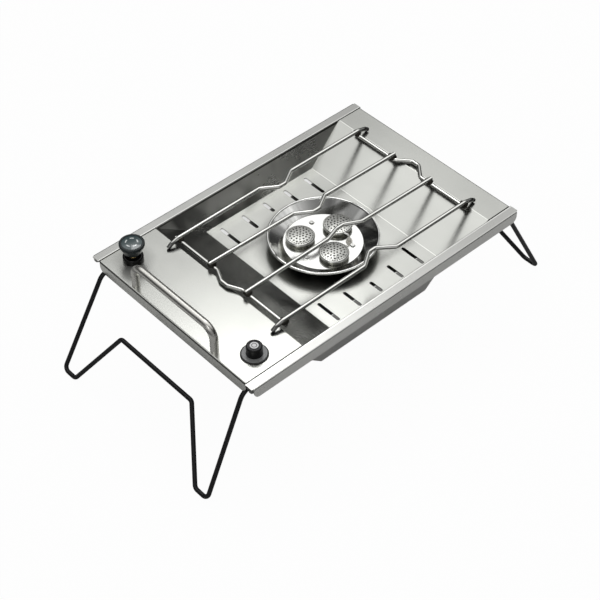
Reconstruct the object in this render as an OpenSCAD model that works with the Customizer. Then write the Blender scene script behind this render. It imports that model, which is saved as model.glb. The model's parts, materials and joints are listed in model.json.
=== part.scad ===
// Table-top gas burner with fold-out wire legs, a lift-off pot grate and side rails
// that let it hang in a table frame. Millimetres, +Z up, resting on z = 0, front towards -Y.

/* [Top plate] */
// Width over the side rails
plate_w = 250; // [230:1:280]
// Length over the front and back flanges
plate_l = 369; // [352:1:430]
// Height of the top face above the table, legs out
stand_h = 125; // [110:1:150]
// Thickness of the folded sheet
sheet_t = 1.2; // [0.8:0.1:1.5]
// Height of the front and back flanges
flange_h = 13.6; // [9:0.2:15]
// Width of each side rail's top strip
rail_w = 12; // [10:0.5:16]
// Height of each side rail's outer lip
lip_h = 13; // [9:0.5:18]
// Corner radius at the lower ends of the flanges and lips
corner_r = 7; // [3:0.5:8]
// Outside radius of the folded edges
fold_r = 1.8; // [1.5:0.1:2.5]
// Open seam between a rail and the panels
seam_gap = 0.7; // [0.3:0.1:1]

/* [Recess] */
// Middle of the recess, towards the back
recess_y = 20; // [14:1:24]
// Length of the recess at the top
recess_l = 263.6; // [250:0.2:275]
// Depth of the recess
recess_d = 30; // [26:1:33]
// Run of the front and back slopes
slope_run = 55.3; // [48:0.1:58]
// Lean of the recess sides
side_lean = 15; // [12:1:18]
// Width of an air slot
slot_w = 4; // [3:0.5:5]
// Distance between rows of air slots
slot_pitch = 30.2; // [26:0.2:32]
// Place of the middle row
slot_y = 18.6; // [16:0.2:22]
// Outer ends of the slots
slot_end = 92; // [88:1:94]
// Clear ring between the bowl and the short slots
slot_ring = 12; // [10:1:14]

/* [Burner] */
// Middle of the bowl, towards the back
burner_y = 21.5; // [18:0.5:24]
// Outer radius of the bowl's rolled rim
bowl_r = 60; // [54:1:62]
// Radius of the bowl's flat floor
bowl_floor_r = 42.6; // [41:0.2:45]
// Height of the bowl's underside above the recess floor
bowl_up = 4; // [2:0.5:8]
// Depth of the bowl from its rolled rim to its underside
bowl_h = 11.5; // [9:0.5:16]
// Radius of a burner head
head_r = 15.8; // [13:0.2:16.6]
// Height of a burner head's wall
head_h = 5.2; // [4.5:0.1:8]
// Distance from the middle of the three heads to each
head_ring = 25.2; // [23:0.2:26]
// How far the three heads sit behind the bowl's middle
head_back = 1.2; // [0:0.1:1.5]
// Direction of the first head
head_turn = 102; // [90:1:110]
// Diameter of a flame hole
flame_d = 2; // [1.2:0.1:2.1]

/* [Burner housing] */
// Half of the housing's width
housing_half = 81.5; // [74:0.5:83]
// Depth of the housing below the recess floor
housing_d = 58; // [45:1:65]
// Length of the housing
housing_l = 181; // [166:1:184]
// Middle of the housing, towards the back
housing_y = 20; // [16:1:24]
// Length and height of the cut-off lower corners
housing_cut = [14, 12];

/* [Pot grate] */
// Diameter of the grate's rods
grate_d = 4.6; // [3:0.2:5]
// Distance of the inner bars from the middle
inner_bar_x = 26.5; // [22:0.5:32]
// Distance of the outer bars from the middle
outer_bar_x = 80; // [74:1:90]
// Height of the bars' tops above the plate
grate_h = 10; // [9:0.5:16]
// Sideways reach of the kink in each bar
kink = 12; // [6:1:14]
// Outward reach of the bow in the front cross bar
front_bow = 7; // [5:0.5:10]
// Outward reach of the bow in the back cross bar
back_bow = 12.5; // [5:0.5:14]

/* [Legs] */
// Diameter of the leg wire
leg_d = 4.8; // [4:0.2:5]
// Distance of the leg pivots from the plate's ends
pivot_in = 10.5; // [9.5:0.5:13]
// Depth of the leg pivots below the top face
pivot_down = 11.8; // [10.8:0.2:13]
// Splay of the legs away from upright
leg_splay = 27.8; // [20:0.2:32]
// Distance of the uprights from the middle, at the top
leg_top_x = 109; // [108:0.5:109.5]
// Distance of the outer corner of a foot from the middle
foot_out_x = 117; // [114:0.5:119]
// Distance of the inner corner of a foot from the middle
foot_in_x = 98.5; // [96:0.5:100]
// Half of the raised middle bar's length
mid_bar_half = 56; // [48:0.5:58]
// Depth of the raised middle bar below the top face
mid_bar_down = 55.2; // [52:0.2:62]

/* [Handle] */
// Diameter of the handle rod
handle_d = 8.6; // [6:0.2:9]
// Distance between the handle's posts
handle_l = 121.6; // [100:0.2:140]
// Height of the handle's middle line above the plate
handle_h = 28.3; // [24:0.1:36]
// Distance of the handle from the front edge
handle_in = 6.5; // [6:0.5:12]

/* [Controls] */
// Distance of the knob from the middle
knob_out = 92; // [84:0.5:94]
// Distance of the knob from the front edge
knob_in = 27.5; // [26:0.5:34]
// Distance of the igniter from the middle
igniter_out = 90.3; // [84:0.1:93]
// Distance of the igniter from the front edge
igniter_in = 31.6; // [26:0.2:36]
// Largest radius of the knob
knob_r = 13.3; // [12:0.1:15]
// Height of the knob's body
knob_h = 11.6; // [10:0.2:14]
// Height of the knob's underside above the plate
knob_up = 11.8; // [10:0.2:13]
// Radius of the igniter's push button
button_r = 8.2; // [7:0.2:9]
// Height of the push button above the plate
button_h = 12.4; // [10:0.2:14]
// Travel of the push button
button_travel = 6; // [4:0.5:6]

/* [Hidden] */
$fn = 64;

steel = [0.72, 0.73, 0.71];
dark_steel = [0.34, 0.34, 0.33];
brass = [0.76, 0.6, 0.32];
black = [0.06, 0.06, 0.065];
grey = [0.5, 0.52, 0.52];
teal_black = [0.13, 0.19, 0.2];
ceramic = [0.9, 0.88, 0.82];

over = 1;                                   // overshoot of a cutting tool
seat_gap = 0.02;                            // pieces that rest on each other
slide_gap = 0.3;                            // pieces that pass each other
pivot_gap = 0.05;                           // a pin in its bore, on the radius
elbow_over = 0.01;                          // a bend is this much thicker than its straights,
elbow_lap = 0.1;                            // which run this far into it

panel_half = plate_w / 2 - rail_w;          // edge of the panels
rail_in = panel_half + seam_gap;            // inner edge of a rail
slope = atan(recess_d / slope_run);         // fall of the front and back slopes
side_t = sheet_t / cos(atan(side_lean / recess_d));
top_front = recess_y - recess_l / 2;
top_back = recess_y + recess_l / 2;
floor_front = top_front + slope_run;
floor_back = top_back - slope_run;
floor_half = rail_in - side_lean;
under_floor = -recess_d - sheet_t;
fold_shift = sheet_t * tan(slope / 2);      // where a fold's outer line meets

// ---------- general shapes ----------

module on_plate() {
    translate([0, 0, stand_h]) children();
}

// Outline in Y and Z pushed out along X, from x to x + width
module along_x(x, width) {
    translate([x, 0, 0]) rotate([90, 0, 90]) linear_extrude(width) children();
}

// Outline in X and Z pushed out along Y, from y to y + length
module along_y(y, length) {
    translate([0, y + length, 0]) rotate([90, 0, 0]) linear_extrude(length) children();
}

function arc(c, r, from, to, steps = 6) =
    [for (i = [0:steps]) c + r * [cos(from + (to - from) * i / steps), sin(from + (to - from) * i / steps)]];

// A hanging flap with rounded lower corners, its top edge on the axis
module flap(from, to, height, r) {
    polygon(concat(
        [[to, 0]],
        arc([to - r, r - height], r, 0, -90),
        arc([from + r, r - height], r, 270, 180),
        [[from, 0]]
    ));
}

function unit(v) = v / norm(v);
function frame(p, x, z) = let (y = cross(z, x)) [
    [x.x, y.x, z.x, p.x],
    [x.y, y.y, z.y, p.y],
    [x.z, y.z, z.z, p.z],
    [0, 0, 0, 1]
];
function across(v) = unit(cross(v, abs(v.z) > 0.9 ? [1, 0, 0] : [0, 0, 1]));
function heading(path, i) = unit(path[i + 1] - path[i]);
// A rod's bends have one radius, or a list of them with one for each point
function bend_at(bend_r, i) = is_list(bend_r) ? bend_r[i] : bend_r;
// Length that a bend takes from each of its two straights
function bend_cut(path, i, bend_r) =
    (i == 0 || i == len(path) - 1) ? 0
    : bend_at(bend_r, i) * tan(acos(min(1, heading(path, i - 1) * heading(path, i))) / 2);

module straight(a, b, r) {
    w = unit(b - a);
    multmatrix(frame(a, across(w), w)) cylinder(r = r, h = norm(b - a));
}

module elbow(p, d_in, d_out, bend_r, r) {
    turn = acos(d_in * d_out);
    inward = unit(d_out - d_in * (d_in * d_out));
    centre = p - d_in * bend_r * tan(turn / 2) + inward * bend_r;
    multmatrix(frame(centre, -inward, cross(-inward, d_in)))
        rotate_extrude(angle = turn) translate([bend_r, 0]) circle(r = r + elbow_over);
}

// A round rod through the points of a path, with a bend at each inner point
module bent_rod(path, bend_r, r) {
    last = len(path) - 1;
    for (i = [0:last - 1])
        straight(
            path[i] + heading(path, i) * (bend_cut(path, i, bend_r) - (i > 0 ? elbow_lap : 0)),
            path[i + 1] - heading(path, i) * (bend_cut(path, i + 1, bend_r) - (i < last - 1 ? elbow_lap : 0)),
            r
        );
    for (i = [1:1:last - 1])
        elbow(path[i], heading(path, i - 1), heading(path, i), bend_at(bend_r, i), r);
}

module tube(r, bore, h) {
    difference() {
        cylinder(r = r, h = h);
        translate([0, 0, -over]) cylinder(r = bore, h = h + 2 * over);
    }
}

module hexagon(across_flats, h) {
    cylinder(r = across_flats / 2 / cos(30), h = h, $fn = 6);
}

module hex_nut(across_flats, bore, h) {
    difference() {
        hexagon(across_flats, h);
        translate([0, 0, -over]) cylinder(r = bore, h = h + 2 * over);
    }
}

// ---------- folded tray and rails ----------

knob_x = -knob_out;
valve_y = -plate_l / 2 + knob_in;
igniter_y = -plate_l / 2 + igniter_in;
handle_y = -plate_l / 2 + handle_in;
valve_neck_r = 5;
igniter_body_r = 10.4;
handle_screw_r = 2;
burner_hole_r = 36;
slot_rows = [-2:2];

// A flat panel with its down-turned flange, its folded edge at y = 0
module flanged_panel(length) {
    difference() {
        union() {
            translate([-panel_half, 0, -sheet_t]) cube([2 * panel_half, length, sheet_t]);
            along_y(0, sheet_t) flap(-panel_half, panel_half, flange_h, corner_r);
        }
        translate([0, 0, 0]) fold_cutter(2 * panel_half);
    }
}

// Takes a folded edge's square corner away, along X
module fold_cutter(length) {
    along_x(-length / 2 - over, length + 2 * over) difference() {
        translate([-over, -fold_r]) square([fold_r + over, fold_r + over]);
        translate([fold_r, -fold_r]) circle(r = fold_r);
    }
}

module recess_sheet() {
    intersection() {
        along_x(-rail_in, 2 * rail_in) polygon([
            [top_front, 0], [floor_front, -recess_d], [floor_back, -recess_d], [top_back, 0],
            [top_back + fold_shift, -sheet_t], [floor_back + fold_shift, under_floor],
            [floor_front - fold_shift, under_floor], [top_front - fold_shift, -sheet_t]
        ]);
        along_y(top_front - over, recess_l + 2 * over) polygon(recess_section());
    }
}

// Section of the recess across X, out to the outer faces of the side walls
function recess_section() = let (
    lean = side_lean / recess_d,
    knee = (rail_in + side_t - panel_half) / lean,
    foot = rail_in + side_t + lean * under_floor
) [
    [-panel_half, over], [panel_half, over], [panel_half, -knee], [foot, under_floor],
    [-foot, under_floor], [-panel_half, -knee]
];

// Inner end of an air slot: short near the bowl, longer in the outer rows
function slot_start(row) = let (
    clear = bowl_r + slot_ring + slot_w / 2,
    off = slot_y + row * slot_pitch - burner_y
) off * off < clear * clear - pow(slot_end - 32, 2) ? sqrt(clear * clear - off * off) : slot_end - 32;

module air_slots() {
    for (row = slot_rows, side = [-1, 1]) {
        start = slot_start(row) + slot_w / 2;
        end = slot_end - slot_w / 2;
        translate([0, slot_y + row * slot_pitch, under_floor - over])
            linear_extrude(sheet_t + 2 * over) {
                translate([side > 0 ? start : -end, -slot_w / 2]) square([end - start, slot_w]);
                translate([side * start, 0]) circle(d = slot_w);
                translate([side * end, 0]) circle(d = slot_w);
            }
    }
}

module tray() {
    color(steel) on_plate() difference() {
        union() {
            translate([0, -plate_l / 2, 0]) flanged_panel(top_front - fold_shift + plate_l / 2);
            mirror([0, 1, 0]) translate([0, -plate_l / 2, 0])
                flanged_panel(plate_l / 2 - top_back - fold_shift);
            along_x(-panel_half, 2 * panel_half) polygon([
                [top_front - fold_shift, 0], [top_front, 0], [top_front - fold_shift, -sheet_t]
            ]);
            along_x(-panel_half, 2 * panel_half) polygon([
                [top_back + fold_shift, 0], [top_back, 0], [top_back + fold_shift, -sheet_t]
            ]);
            recess_sheet();
            translate([0, burner_y, under_floor])
                cylinder(r = burner_hole_r + sheet_t, h = sheet_t + bowl_up - seat_gap);
        }
        air_slots();
        translate([0, burner_y, under_floor - over])
            cylinder(r = burner_hole_r, h = sheet_t + bowl_up + 2 * over);
        translate([knob_x, valve_y, -sheet_t - over])
            cylinder(r = valve_neck_r + slide_gap, h = sheet_t + 2 * over);
        translate([igniter_out, igniter_y, -sheet_t - over])
            cylinder(r = igniter_body_r + slide_gap, h = sheet_t + 2 * over);
        for (side = [-1, 1])
            translate([side * handle_l / 2, handle_y, -sheet_t - over])
                cylinder(r = handle_screw_r + slide_gap, h = sheet_t + 2 * over);
    }
}

pivot_y = plate_l / 2 - pivot_in;
ear_r = 7.3;
web_h = 8;                                  // stiffening web along a rail's inner edge
rail_end = plate_l / 2 + 0.8;               // the rails stand a little proud of the flanges
lip_end = rail_end - 2;                     // a corner relief at each end of the lip

// Right-hand rail, about the top plane
module rail() {
    difference() {
        union() {
            translate([rail_in, -lip_end, -sheet_t]) cube([plate_w / 2 - rail_in, 2 * lip_end, sheet_t]);
            along_x(plate_w / 2 - sheet_t, sheet_t) flap(-lip_end, lip_end, lip_h, corner_r);
        }
        translate([plate_w / 2, 0, 0]) rotate([0, 0, 90]) fold_cutter(2 * rail_end);
    }
    translate([rail_in, -rail_end, -sheet_t]) cube([rail_w - seam_gap - fold_r, 2 * rail_end, sheet_t]);
    recess_side();
    for (end = [-1, 1]) mirror([0, end < 0 ? 1 : 0, 0]) rail_web();
}

// Leaning side wall of the recess
module recess_side() {
    intersection() {
        along_y(top_front - over, recess_l + 2 * over) polygon([
            [rail_in, 0], [rail_in + side_t, 0],
            [floor_half + side_t, -recess_d], [floor_half, -recess_d]
        ]);
        along_x(floor_half - over, side_lean + side_t + 2 * over) polygon([
            [top_front, 0], [floor_front, -recess_d], [floor_back, -recess_d], [top_back, 0]
        ]);
    }
}

// Web below the strip behind an end panel, with the ear that carries a leg
module rail_web() {
    difference() {
        along_x(rail_in, sheet_t) union() {
            translate([top_back + 1, -web_h]) square([plate_l / 2 - sheet_t - slide_gap - top_back - 1, web_h]);
            translate([pivot_y, -pivot_down]) circle(r = ear_r);
            translate([pivot_y - ear_r, -pivot_down]) square([2 * ear_r, pivot_down]);
        }
        translate([rail_in - over, pivot_y, -pivot_down]) rotate([0, 90, 0])
            cylinder(r = leg_d / 2 + pivot_gap, h = sheet_t + 2 * over);
        translate([rail_in - over, plate_l / 2 - sheet_t - slide_gap, -pivot_down - ear_r - over])
            cube([sheet_t + 2 * over, ear_r, pivot_down + ear_r + 2 * over]);
    }
}

module left_rail() {
    color(steel) on_plate() mirror([1, 0, 0]) rail();
}

module right_rail() {
    color(steel) on_plate() rail();
}

// ---------- burner ----------

bowl_t = 0.8;
rim_r = 1.5;                                // radius of the rolled rim
bowl_foot = -recess_d + bowl_up;
bowl_floor_top = bowl_foot + bowl_t;
neck_r = 6;                                 // throat of a head, through the bowl's floor
base_t = 1.5;
cup_t = 1.2;
throat_r = 4;
head_turns = [head_turn, head_turn + 120, head_turn + 240];

module at_burner() {
    translate([0, burner_y + head_back, 0]) children();
}

module at_head(i) {
    at_burner() rotate([0, 0, head_turns[i]]) translate([head_ring, 0, 0]) children();
}

spark_turn = head_turn - 57;                // direction of the spark electrode
spark_ring = 26.5;
insulator_r = 2.4;
screw_turns = [head_turn + 60, head_turn + 180, head_turn + 292];
screw_ring = 31;
burner_screw_r = 1.5;

module at_spark() {
    at_burner() rotate([0, 0, spark_turn]) translate([spark_ring, 0, 0]) children();
}

module at_screws() {
    for (turn = screw_turns) at_burner() rotate([0, 0, turn]) translate([screw_ring, 0, 0]) children();
}

module bowl() {
    wall_top = [bowl_r - 2 * rim_r, bowl_foot + bowl_h - rim_r];
    wall_foot = [bowl_floor_r, bowl_foot];
    lean = unit(wall_top - wall_foot);
    off = [lean.y, -lean.x] * bowl_t;
    color(steel) on_plate() difference() {
        translate([0, burner_y, 0]) union() {
            rotate_extrude($fn = 128) polygon([
                [0, bowl_foot], wall_foot + [off.x / 2, 0], wall_top + off / 2,
                wall_top - off / 2, [bowl_floor_r - off.x / 2, bowl_floor_top], [0, bowl_floor_top]
            ]);
            rotate_extrude($fn = 128) translate([bowl_r - rim_r, wall_top.y]) circle(r = rim_r, $fn = 32);
        }
        for (i = [0:2]) at_head(i) translate([0, 0, bowl_foot - over])
            cylinder(r = neck_r + slide_gap, h = bowl_t + 2 * over);
        at_spark() translate([0, 0, bowl_foot - over]) cylinder(r = insulator_r + slide_gap, h = bowl_t + 2 * over);
        at_screws() translate([0, 0, bowl_foot - over]) cylinder(r = burner_screw_r + slide_gap, h = bowl_t + 2 * over);
    }
}

cup_foot = bowl_floor_top + seat_gap;
cup_top = cup_foot + head_h;

// Cast cup under a cap, with a throat down into the manifold
module burner_cup(i) {
    color(dark_steel) on_plate() at_head(i) difference() {
        union() {
            translate([0, 0, cup_foot]) cylinder(r1 = head_r - 1.2, r2 = head_r - 0.6, h = base_t);
            translate([0, 0, cup_foot + base_t]) cylinder(r = head_r - 0.6, h = head_h - base_t);
            translate([0, 0, manifold_top + seat_gap]) cylinder(r = neck_r, h = cup_foot - manifold_top);
        }
        translate([0, 0, cup_foot + base_t]) cylinder(r = head_r - 0.6 - cup_t, h = head_h);
        translate([0, 0, manifold_top - over]) cylinder(r = throat_r, h = head_h + recess_d);
    }
}

module back_burner_cup() { burner_cup(0); }
module left_burner_cup() { burner_cup(1); }
module right_burner_cup() { burner_cup(2); }

cap_t = 0.8;
cap_skirt = 1.2;
dome_rise = 1.1;
dome_edge_r = head_r - 0.8;
dome_r = (dome_edge_r * dome_edge_r + dome_rise * dome_rise) / (2 * dome_rise);
ring_step = (head_r - 5) / 3;
flame_rings = [[0, 1], [ring_step, 6], [2 * ring_step, 12], [3 * ring_step, 18]];
rim_holes = 32;
rim_hole_ring = head_r - 2.3;

// Domed cap, pierced with rings of flame holes
module burner_cap(i) {
    base = cup_top + seat_gap;
    color(steel) on_plate() at_head(i) difference() {
        union() {
            translate([0, 0, base - cap_skirt]) cylinder(r = head_r, h = cap_skirt);
            translate([0, 0, base]) cylinder(r1 = head_r, r2 = dome_edge_r, h = cap_t);
            intersection() {
                translate([0, 0, base + cap_t + dome_rise - dome_r]) sphere(r = dome_r);
                translate([0, 0, base + cap_t]) cylinder(r = dome_edge_r, h = dome_rise + over);
            }
        }
        translate([0, 0, base - cap_skirt - over]) cylinder(r = head_r - 0.6 + slide_gap / 2, h = cap_skirt + over);
        intersection() {
            translate([0, 0, base + dome_rise - dome_r]) sphere(r = dome_r);
            translate([0, 0, base - over]) cylinder(r = head_r - 0.6 - cup_t, h = dome_rise + 2 * over);
        }
        for (ring = flame_rings, k = [0:ring[1] - 1])
            rotate([0, 0, 360 * k / ring[1] + ring[0] * 9]) translate([ring[0], 0, base - over])
                cylinder(d = flame_d, h = dome_rise + cap_t + 2 * over, $fn = 16);
        for (k = [0:rim_holes - 1])
            rotate([0, 0, 360 * k / rim_holes]) translate([rim_hole_ring, 0, base - over])
                cylinder(d = flame_d - 0.7, h = dome_rise + cap_t + 2 * over, $fn = 16);
    }
}

module back_burner_cap() { burner_cap(0); }
module left_burner_cap() { burner_cap(1); }
module right_burner_cap() { burner_cap(2); }

manifold_top = under_floor - 3;
manifold_h = 20;
manifold_mid = manifold_top - manifold_h / 2;
arm_r = 6.5;
hub_r = 13;
tube_r = 6.5;
tube_bore = 5.2;
socket_t = 2.5;
lug_w = 6;
lug_t = 3;
post_r = 4;
post_h = 10;
tube_joint = hub_r + 6;                     // where the mixing tube enters the hub's socket

manifold_wall = 2.5;

// Plan of the casting: a hub with an arm out to each head, cut back from its outline all round
module star(inset) {
    at_burner() circle(r = hub_r - inset);
    for (turn = head_turns) at_burner() rotate(turn) translate([0, inset - arm_r])
        square([head_ring, 2 * (arm_r - inset)]);
    for (i = [0:2]) at_head(i) circle(r = neck_r + 3 - inset);
}

// Hollow casting that feeds the three heads, with lugs for the screws
module burner_manifold() {
    color(grey) on_plate() difference() {
        union() {
            translate([0, 0, manifold_top - manifold_h]) linear_extrude(manifold_h) star(0);
            at_burner() translate([0, 0, manifold_mid]) rotate([90, 0, 0])
                cylinder(r = tube_r + socket_t, h = tube_joint);
            for (turn = screw_turns) at_burner() rotate([0, 0, turn])
                translate([hub_r - lug_w / 2, -lug_w / 2, manifold_top - lug_t - 0.2])
                    cube([screw_ring - hub_r + lug_w / 2, lug_w, lug_t]);
            for (turn = screw_turns) at_burner() rotate([0, 0, turn])
                translate([screw_ring, 0, manifold_top - lug_t])
                    cylinder(r = post_r, h = bowl_foot - seat_gap - manifold_top + lug_t);
        }
        translate([0, 0, manifold_top - manifold_h + manifold_wall])
            linear_extrude(manifold_h - 2 * manifold_wall) star(manifold_wall);
        for (i = [0:2]) at_head(i) translate([0, 0, manifold_mid]) cylinder(r = throat_r, h = manifold_h);
        // One stepped bore, so that the tube's seat and the gas way are cut in a single turn.
        at_burner() translate([0, 0, manifold_mid]) rotate([90, 0, 0]) rotate_extrude() polygon([
            [0, hub_r / 2], [tube_bore, hub_r / 2], [tube_bore, hub_r - 2], [tube_r + pivot_gap, hub_r - 2],
            [tube_r + pivot_gap, tube_joint + 1], [0, tube_joint + 1]]);
        at_screws() translate([0, 0, manifold_top - post_h]) cylinder(r = burner_screw_r, h = 2 * post_h);
    }
}

housing_front = housing_y - housing_l / 2;
housing_back = housing_y + housing_l / 2;
tube_end = housing_front - 6;               // open end of the mixing tube, outside the housing
mouth_r = tube_r + 3;
holder_r = mouth_r - 1.2;

module mixing_tube() {
    start = burner_y + head_back - hub_r + 2 - seat_gap;
    color(steel) on_plate() translate([0, start, manifold_mid]) rotate([90, 0, 0]) difference() {
        union() {
            cylinder(r = tube_r, h = start - tube_end);
            translate([0, 0, start - tube_end - 14]) cylinder(r1 = tube_r, r2 = mouth_r, h = 6);
            translate([0, 0, start - tube_end - 8]) cylinder(r = mouth_r, h = 8);
        }
        translate([0, 0, -over]) cylinder(r = tube_bore, h = start - tube_end + 2 * over);
        translate([0, 0, start - tube_end - 14]) cylinder(r1 = tube_bore, r2 = holder_r, h = 6);
        translate([0, 0, start - tube_end - 8]) cylinder(r = holder_r, h = 8 + over);
    }
}

injector_r = 3.5;
injector_tip = tube_end + 8;
injector_foot = tube_end - 8;

// Brass jet on the end of the gas pipe, in a spider that centres it in the tube's mouth
module injector() {
    color(brass) on_plate() translate([0, injector_foot, manifold_mid]) rotate([-90, 0, 0]) difference() {
        union() {
            cylinder(r = injector_r, h = injector_tip - injector_foot - 2);
            translate([0, 0, injector_tip - injector_foot - 2]) cylinder(r1 = injector_r, r2 = 1.6, h = 2);
            for (turn = [90, 210, 330]) rotate([0, 0, turn])
                translate([0, -1, 10]) cube([holder_r - seat_gap - 0.1, 2, 3]);
        }
        translate([0, 0, -over]) cylinder(r = pipe_bore, h = injector_tip - injector_foot - 1.5);
        cylinder(r = 0.5, h = injector_tip - injector_foot + over);
    }
}

// Screws that clamp the bowl between the manifold and their own heads
module burner_screws() {
    color(steel) on_plate() at_screws() difference() {
        union() {
            translate([0, 0, bowl_floor_top + seat_gap]) cylinder(r1 = 3, r2 = 2.4, h = 1.4);
            translate([0, 0, manifold_top - 2]) cylinder(r = burner_screw_r - seat_gap, h = bowl_floor_top - manifold_top + 2.1);
        }
        translate([-2, -0.4, bowl_floor_top + 0.9]) cube([4, 0.8, 2]);
        translate([-0.4, -2, bowl_floor_top + 0.9]) cube([0.8, 4, 2]);
    }
}

insulator_top = bowl_floor_top + 5;
insulator_foot = manifold_top + 0.5;
electrode_r = 0.8;

module spark_insulator() {
    color(ceramic) on_plate() at_spark() translate([0, 0, insulator_foot]) difference() {
        union() {
            cylinder(r = insulator_r, h = insulator_top - insulator_foot - 1);
            translate([0, 0, insulator_top - insulator_foot - 1]) cylinder(r1 = insulator_r, r2 = 1.6, h = 1);
            translate([0, 0, bowl_floor_top + seat_gap - insulator_foot]) cylinder(r = 3.6, h = 1.2);
        }
        translate([0, 0, -over]) cylinder(r = electrode_r + seat_gap, h = 30);
    }
}

module spark_electrode() {
    tip_z = cup_top + 3.6;
    back = (head_turn - spark_turn) / 2 + 118;
    aim = [cos(back), sin(back), 0];
    color(steel) on_plate() at_spark() bent_rod([
        [0, 0, insulator_foot - 3],
        [0, 0, tip_z],
        [0, 0, tip_z] + aim * 6
    ], 2, electrode_r);
}

// ---------- housing below the recess ----------

housing_t = 0.8;
under_slope = under_floor + (floor_front - housing_front) * recess_d / slope_run;
under_back = under_floor + (housing_back - floor_back) * recess_d / slope_run;
tab_w = 9;
tab_ys = [housing_y - 45, housing_y + 45];
tab_l = 18;
stud_x = housing_half + 5;
stud_r = 1.5;
nut_h = 2.4;

// Side view of the housing, drawn in by t
module housing_side(t) {
    deep = under_floor - housing_d + t;
    slant = t * (housing_cut.x + housing_cut.y - norm(housing_cut)) / housing_cut.y;
    rise = t * (housing_cut.x + housing_cut.y - norm(housing_cut)) / housing_cut.x;
    polygon([
        [housing_front + t, under_slope - fold_shift - 1.0],
        [housing_front + t, under_floor - housing_d + housing_cut.y + rise - t + t],
        [housing_front + housing_cut.x + slant, deep],
        [housing_back - housing_cut.x - slant, deep],
        [housing_back - t, under_floor - housing_d + housing_cut.y + rise - t + t],
        [housing_back - t, under_back - fold_shift - 1.0],
        [floor_back + fold_shift, under_floor - seat_gap],
        [floor_front - fold_shift, under_floor - seat_gap]
    ]);
}

module burner_housing() {
    color(dark_steel) on_plate() difference() {
        union() {
            difference() {
                along_x(-housing_half, 2 * housing_half) housing_side(0);
                along_x(-housing_half + housing_t, 2 * (housing_half - housing_t)) union() {
                    housing_side(housing_t);
                    translate([floor_front - fold_shift, under_floor - 2]) square([floor_back - floor_front + 2 * fold_shift, 4]);
                    polygon([
                        [housing_front + housing_t, under_slope - 12], [housing_front + housing_t, over],
                        [housing_back - housing_t, over], [housing_back - housing_t, under_back - 12]
                    ]);
                }
            }
            for (side = [-1, 1], y = tab_ys)
                translate([side > 0 ? housing_half - housing_t : -housing_half - tab_w, y - tab_l / 2, under_floor - seat_gap - housing_t])
                    cube([tab_w + housing_t, tab_l, housing_t]);
        }
        translate([0, housing_front - over, manifold_mid]) rotate([-90, 0, 0])
            cylinder(r = mouth_r + slide_gap, h = housing_t + 2 * over);
        translate([lead_x, housing_front - over, lead_z]) rotate([-90, 0, 0])
            cylinder(r = lead_r + slide_gap, h = housing_t + 2 * over);
        at_studs() translate([0, 0, under_floor - 4]) cylinder(r = stud_r + slide_gap, h = 6);
    }
}

module at_studs() {
    for (side = [-1, 1], y = tab_ys) translate([side * stud_x, y, 0]) children();
}

module housing_studs() {
    color(steel) on_plate() at_studs() union() {
        translate([0, 0, under_floor - 6]) cylinder(r = stud_r, h = 6 - seat_gap);
    }
}

module housing_nuts() {
    color(steel) on_plate() at_studs() translate([0, 0, under_floor - 2 * seat_gap - housing_t - nut_h])
        hex_nut(5.5, stud_r + pivot_gap, nut_h);
}

// ---------- gas valve, knob and pipe ----------

valve_r = 10;
valve_h = 20;
valve_top = -sheet_t - seat_gap;
neck_top = 5;
stem_r = 3;
pipe_r = 2.5;
pipe_bore = 1.6;
pipe_z = -9;
collar_r = 10.8;
collar_h = 6.5;

module at_valve() {
    translate([knob_x, valve_y, 0]) children();
}

module gas_valve() {
    color(brass) on_plate() at_valve() difference() {
        union() {
            translate([0, 0, valve_top - valve_h]) cylinder(r = valve_r, h = valve_h);
            translate([0, 0, valve_top - over]) cylinder(r = valve_neck_r, h = neck_top - valve_top + over);
            translate([0, 0, pipe_z]) rotate([0, 90, 0]) cylinder(r = 4.5, h = valve_r + 5);
        }
        translate([0, 0, valve_top - 12]) cylinder(r = stem_r + pivot_gap, h = 12 + neck_top + 2 * over);
        translate([valve_r - 4, 0, pipe_z]) rotate([0, 90, 0]) cylinder(r = pipe_r + seat_gap, h = 10);
        translate([0, 0, valve_top - valve_h - over]) cylinder(r = inlet_r + seat_gap, h = 6 + over);
    }
}

module valve_nut() {
    color(steel) on_plate() at_valve() translate([0, 0, seat_gap])
        hex_nut(13, valve_neck_r + pivot_gap, 3);
}

module valve_collar() {
    color(black) on_plate() at_valve() difference() {
        union() {
            translate([0, 0, seat_gap]) cylinder(r = collar_r, h = collar_h - 2);
            translate([0, 0, collar_h - 2 + seat_gap]) rotate_extrude() difference() {
                union() {
                    translate([0, 0]) square([collar_r - 2, 2]);
                    translate([collar_r - 2, 0]) intersection() {
                        circle(r = 2);
                        square([2, 2]);
                    }
                }
            }
        }
        translate([0, 0, -over]) cylinder(r = 13 / 2 / cos(30) + slide_gap, h = over + 3 + seat_gap + slide_gap);
        translate([0, 0, -over]) cylinder(r = valve_neck_r + slide_gap, h = collar_h + 2 * over);
    }
}

inlet_r = 6;
inlet_l = 14;

// Threaded union for the gas hose, below the valve
module gas_inlet() {
    color(brass) on_plate() at_valve() translate([0, 0, valve_top - valve_h]) difference() {
        union() {
            translate([0, 0, -3 - inlet_l]) cylinder(r = inlet_r, h = inlet_l);
            translate([0, 0, -3]) hexagon(15, 3 - seat_gap);
            translate([0, 0, -seat_gap - over]) cylinder(r = inlet_r, h = 6 + over - seat_gap);
        }
        translate([0, 0, -3 - inlet_l - over]) cylinder(r = 3, h = inlet_l + 20);
    }
}

pipe_drop_y = top_front + 2.5;

module gas_pipe() {
    color(brass) on_plate() bent_rod([
        [knob_x + valve_r - 2, valve_y, pipe_z],
        [0, valve_y, pipe_z],
        [0, pipe_drop_y, pipe_z],
        [0, pipe_drop_y, manifold_mid],
        [0, injector_foot - seat_gap, manifold_mid]
    ], 7, pipe_r);
}

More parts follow.
